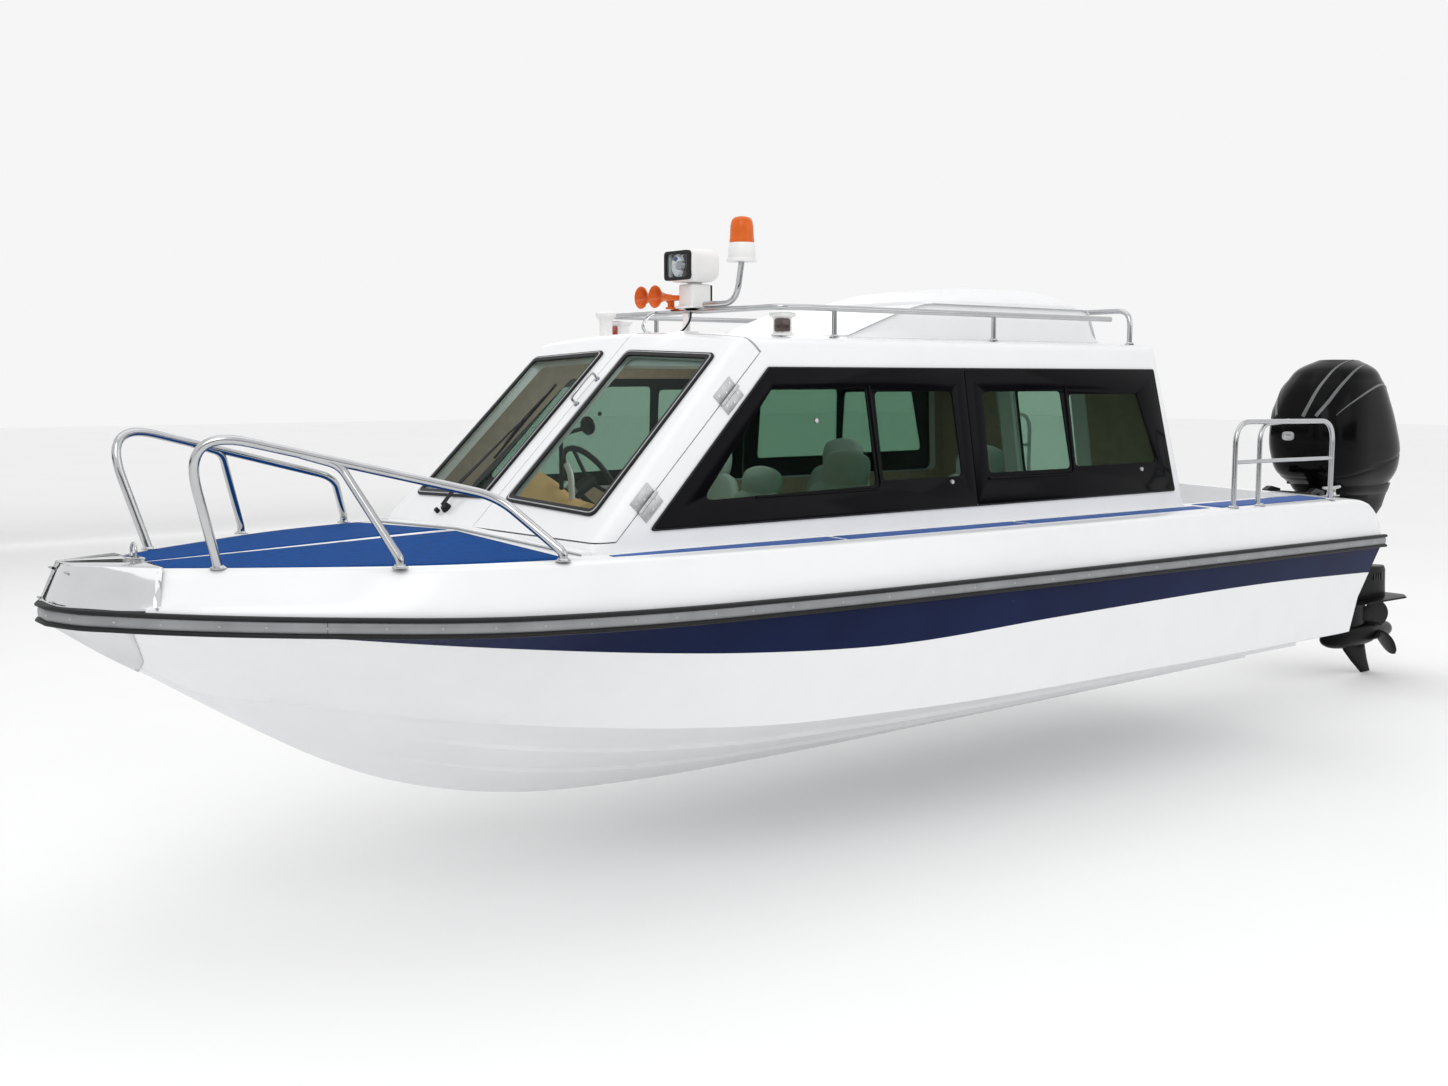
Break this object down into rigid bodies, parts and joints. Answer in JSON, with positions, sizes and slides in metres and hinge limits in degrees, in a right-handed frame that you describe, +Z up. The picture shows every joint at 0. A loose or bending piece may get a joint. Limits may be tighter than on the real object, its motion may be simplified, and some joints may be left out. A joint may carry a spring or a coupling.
{
  "type": "inshore rescue boat",
  "caption": "White cabin rescue boat with raked windscreens, deck rails, roof light and horns, a blue deck band and a large black outboard engine on a bracket.",
  "frame": {"origin": "on the centreline at the waterline, at the middle of the hull length", "axes": "+X to port, -Y to the bow, +Z up"},
  "size_m": [2.18, 8.6894, 2.6123],
  "materials": {
    "gelcoat": "glossy white gelcoat",
    "black_rubber": "matt black rubber",
    "polished_steel": "polished",
    "tinted_glass": "tinted clear",
    "black_glass": "glossy black surround",
    "tan_moulding": "satin tan",
    "grey_vinyl": "soft grey vinyl",
    "gloss_black": "gloss black",
    "dark_metal": "satin black",
    "amber_plastic": "clear orange",
    "white_plastic": "satin white"
  },
  "bodies": {
    "boat": {"aft_rail_port": "polished_steel", "aft_rail_starboard": "polished_steel", "beacon_lens": "amber_plastic", "beacon_pole": "white_plastic", "bow_rail_port": "polished_steel", "bow_rail_starboard": "polished_steel", "cabin_shell": "gelcoat", "clamp_bracket": "dark_metal", "cleat_port": "polished_steel", "cleat_starboard": "polished_steel", "console": "tan_moulding", "deck_moulding": "gelcoat", "engine_bracket": "gelcoat", "horns": "amber_plastic", "hull": "gelcoat", "nav_light_port": "white_plastic", "nav_light_starboard": "white_plastic", "roof_hoop": "polished_steel", "roof_rail": "polished_steel", "roof_trunk": "gelcoat", "roof_vent": "white_plastic", "rub_rail": "black_rubber", "rub_rail_strip": "polished_steel", "searchlight_pedestal": "white_plastic", "seat_front_port": "grey_vinyl", "seat_front_starboard": "grey_vinyl", "seat_plinth_port": "gelcoat", "seat_plinth_starboard": "gelcoat", "seat_rear_port": "grey_vinyl", "seat_rear_starboard": "grey_vinyl", "side_glass_front_port": "black_glass", "side_glass_front_starboard": "black_glass", "side_glass_rear_port": "black_glass", "side_glass_rear_starboard": "black_glass", "side_pane_port": "tinted_glass", "side_pane_starboard": "tinted_glass", "windscreen_glass_starboard": "tinted_glass", "windscreen_seal_starboard": "black_rubber", "wiper": "dark_metal"},
    "front_door": {"front_door": "gelcoat", "windscreen_seal_port": "black_rubber", "windscreen_glass_port": "tinted_glass"},
    "rear_door": {"rear_door": "gelcoat", "rear_door_glass": "tinted_glass"},
    "roof_hatch": {"roof_hatch": "gelcoat"},
    "searchlight": {"searchlight_head": "white_plastic"},
    "steering_wheel": {"steering_wheel": "black_rubber"},
    "engine_tilt": {"swivel_bracket": "dark_metal"},
    "engine": {"outboard_leg": "gloss_black", "engine_cowl": "gloss_black", "engine_block": "dark_metal"},
    "propeller": {"propeller": "dark_metal"}
  },
  "joints": [
    {"name": "front_door_hinge", "type": "hinge", "parent": "boat", "child": "front_door", "pos_m": [0.7668, -1.21091, 1.08124], "axis": [-0.0841, 0.7352, 0.6726], "range_deg": [0, 95]},
    {"name": "rear_door_hinge", "type": "hinge", "parent": "boat", "child": "rear_door", "pos_m": [0.2925, 1.82557, 0.64005], "axis": [0, 0.1901, -0.9818], "range_deg": [0, 90]},
    {"name": "roof_hatch_hinge", "type": "hinge", "parent": "boat", "child": "roof_hatch", "pos_m": [0, 0.38, 1.66], "axis": [1, 0, 0], "range_deg": [0, 60]},
    {"name": "searchlight_turn", "type": "hinge", "parent": "boat", "child": "searchlight", "pos_m": [0.05, -0.64, 1.73], "axis": [0, 0, 1], "range_deg": [-170, 170]},
    {"name": "steering_wheel_turn", "type": "hinge", "parent": "boat", "child": "steering_wheel", "pos_m": [-0.36, -0.9, 0.89], "axis": [0, 0.8486, 0.5291], "range_deg": [-450, 450]},
    {"name": "engine_tilt", "type": "hinge", "parent": "boat", "child": "engine_tilt", "pos_m": [0, 4.12, 0.6], "axis": [1, 0, 0], "range_deg": [0, 65]},
    {"name": "engine_steer", "type": "hinge", "parent": "engine_tilt", "child": "engine", "pos_m": [0, 4.36, 0.3], "axis": [0, 0, 1], "range_deg": [-30, 30]},
    {"name": "propeller_spin", "type": "hinge", "parent": "engine", "child": "propeller", "pos_m": [0, 5.16, -0.36], "axis": [0, 1, 0], "continuous": true}
  ]
}
